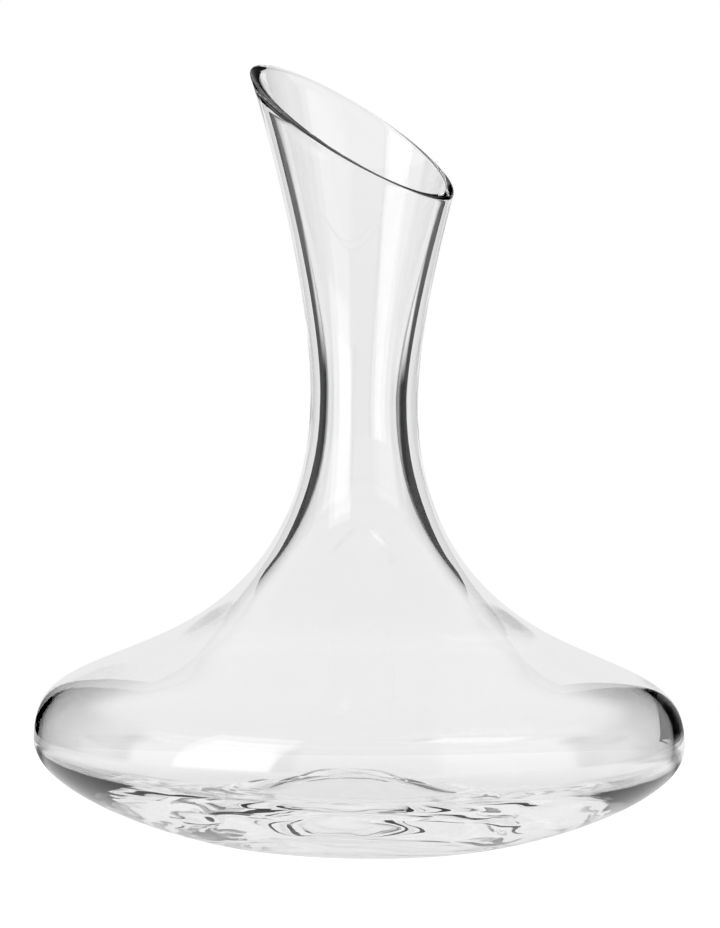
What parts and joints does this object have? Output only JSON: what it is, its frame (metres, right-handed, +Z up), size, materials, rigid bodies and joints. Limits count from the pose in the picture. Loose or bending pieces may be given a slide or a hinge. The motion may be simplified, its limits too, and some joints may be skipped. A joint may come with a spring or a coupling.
{
  "type": "wine decanter",
  "caption": "Clear glass wine decanter: a wide, low bowl with a punted base draws in to a narrow throat and flares into a slant-cut pouring mouth.",
  "frame": {"origin": "centre of the base, on the surface that the decanter stands on", "axes": "+Z up along the axis of the bowl and neck, +X towards the low side of the slanted mouth, the one it pours from"},
  "size_m": [0.21, 0.21, 0.2504],
  "materials": {
    "clear_glass": "clear, fire-polished, very slightly uneven as blown glass is"
  },
  "bodies": {
    "root": {"glass_vessel": "clear_glass"}
  },
  "joints": []
}
